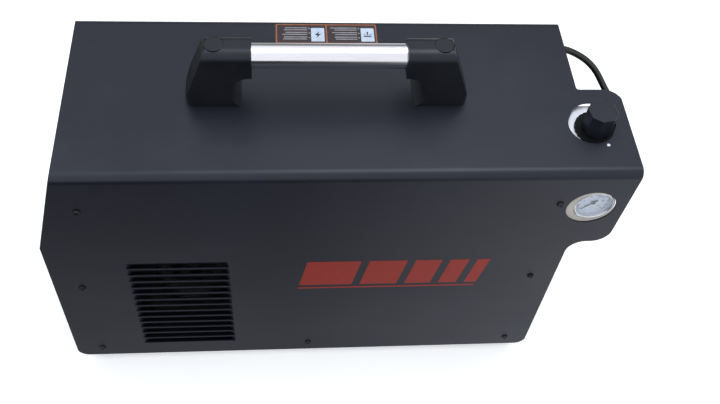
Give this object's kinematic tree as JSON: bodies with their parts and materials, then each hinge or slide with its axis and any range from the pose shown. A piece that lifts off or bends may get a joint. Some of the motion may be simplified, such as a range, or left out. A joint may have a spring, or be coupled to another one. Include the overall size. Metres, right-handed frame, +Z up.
{
  "type": "plasma cutter unit",
  "caption": "Portable inverter plasma cutter in a bent steel cover with carrying handle, side louvres and a rear air regulator with gauge.",
  "frame": {"origin": "centre of the bounding box at the level of the feet, the surface the unit stands on", "axes": "+X to the rear where the air regulator is, -Y towards the pressure gauge side, +Z up"},
  "size_m": [0.66, 0.2336, 0.4535],
  "materials": {
    "powder_coat": "satin black-grey powder coat",
    "zinc_sheet": "bright zinc plate",
    "black_screw": "blackened steel",
    "handle_plastic": "fine grained black",
    "chrome_tube": "polished",
    "rubber": "matt",
    "black_plastic": "satin moulded",
    "cast_alloy": "painted die casting",
    "gauge_steel": "polished steel",
    "dial_white": "printed dial",
    "pointer_black": "matt black",
    "clear_lens": "clear",
    "clear_bowl": "clear moulded",
    "sintered": "porous",
    "brass": "turned",
    "hose": "smooth flexible tube",
    "switch_black": "gloss moulded",
    "smoked_pane": "smoked",
    "lamp_lens": "coloured lens",
    "board": "solder mask",
    "module": "epoxy",
    "heatsink": "extruded",
    "capacitor": "sleeved can",
    "ferrite": "sintered ferrite",
    "copper": "enamelled copper",
    "steel": "machined"
  },
  "bodies": {
    "chassis": {"cover_shell": "powder_coat", "cover_screws": "black_screw", "base_tray": "powder_coat", "front_panel": "powder_coat", "rear_panel": "powder_coat", "rubber_feet": "rubber", "machine_screws": "black_screw", "handle_end_front": "handle_plastic", "handle_end_rear": "handle_plastic", "handle_tube": "chrome_tube", "handle_plugs": "handle_plastic", "regulator_bracket": "zinc_sheet", "regulator_bonnet": "black_plastic", "regulator_ring_nut": "black_plastic", "regulator_body": "cast_alloy", "gauge_case": "gauge_steel", "gauge_bezel": "gauge_steel", "gauge_dial": "dial_white", "gauge_lens": "clear_lens", "filter_bowl": "clear_bowl", "bowl_guard": "black_plastic", "filter_element": "sintered", "outlet_fitting": "black_plastic", "bulkhead_fitting": "brass", "air_hose": "hose", "inlet_nipple": "brass", "mains_gland": "black_plastic", "breaker_body": "switch_black", "fan_frame": "black_plastic", "fan_guard": "steel", "earth_stud": "brass", "potentiometer": "steel", "display_window": "switch_black", "display_glass": "smoked_pane", "indicator_lamps": "lamp_lens", "test_switch_body": "switch_black", "torch_connector": "brass", "torch_flange": "black_plastic", "work_socket": "brass", "trigger_socket": "steel", "control_board": "board", "heatsinks": "heatsink", "power_modules": "module", "power_board": "board", "bus_capacitors": "capacitor", "transformer_core": "ferrite", "transformer_winding": "copper", "output_choke": "module", "valve_body": "brass", "valve_coil": "module", "gas_pipe": "copper"},
    "pressure_screw": {"adjusting_screw": "steel"},
    "pressure_knob": {"regulator_knob": "black_plastic"},
    "gauge_needle": {"gauge_pointer": "pointer_black"},
    "drain_screw": {"drain_valve": "black_plastic"},
    "mains_lever": {"breaker_lever": "switch_black"},
    "fan": {"fan_rotor": "black_plastic"},
    "dial_knob": {"current_knob": "black_plastic"},
    "test_key": {"test_rocker": "switch_black"},
    "plunger": {"valve_plunger": "steel"}
  },
  "joints": [
    {"name": "pressure_turn", "type": "hinge", "parent": "chassis", "child": "pressure_screw", "pos_m": [0.26799, -0.0495, 0.3835], "axis": [0, 0, 1], "range_deg": [-540, 540]},
    {"name": "pressure_lift", "type": "slide", "parent": "pressure_screw", "child": "pressure_knob", "axis": [0, 0, 1], "range_m": [0, 0.003]},
    {"name": "needle_sweep", "type": "hinge", "parent": "chassis", "child": "gauge_needle", "pos_m": [0.26799, -0.1045, 0.3245], "axis": [0, 1, 0], "range_deg": [0, 270]},
    {"name": "drain_turn", "type": "hinge", "parent": "chassis", "child": "drain_screw", "pos_m": [0.26799, -0.0495, 0.2375], "axis": [0, 0, 1], "range_deg": [0, 360]},
    {"name": "mains_toggle", "type": "hinge", "parent": "chassis", "child": "mains_lever", "pos_m": [0.23799, 0.0715, 0.2185], "axis": [0, -1, 0], "range_deg": [0, 64]},
    {"name": "fan_spin", "type": "hinge", "parent": "chassis", "child": "fan", "pos_m": [0.22039, 0, 0.1085], "axis": [1, 0, 0], "continuous": true},
    {"name": "current_turn", "type": "hinge", "parent": "chassis", "child": "dial_knob", "pos_m": [-0.30396, -0.052, 0.30774], "axis": [-0.9648, 0, 0.2631], "range_deg": [-150, 150]},
    {"name": "test_rock", "type": "hinge", "parent": "chassis", "child": "test_key", "pos_m": [-0.29844, 0.048, 0.29379], "axis": [-0.2631, 0, -0.9648], "range_deg": [0, 20]},
    {"name": "valve_stroke", "type": "slide", "parent": "chassis", "child": "plunger", "axis": [0, 0, -1], "range_m": [0, 0.003], "stiffness_N_per_m": 300, "springref_m": -0.002}
  ]
}
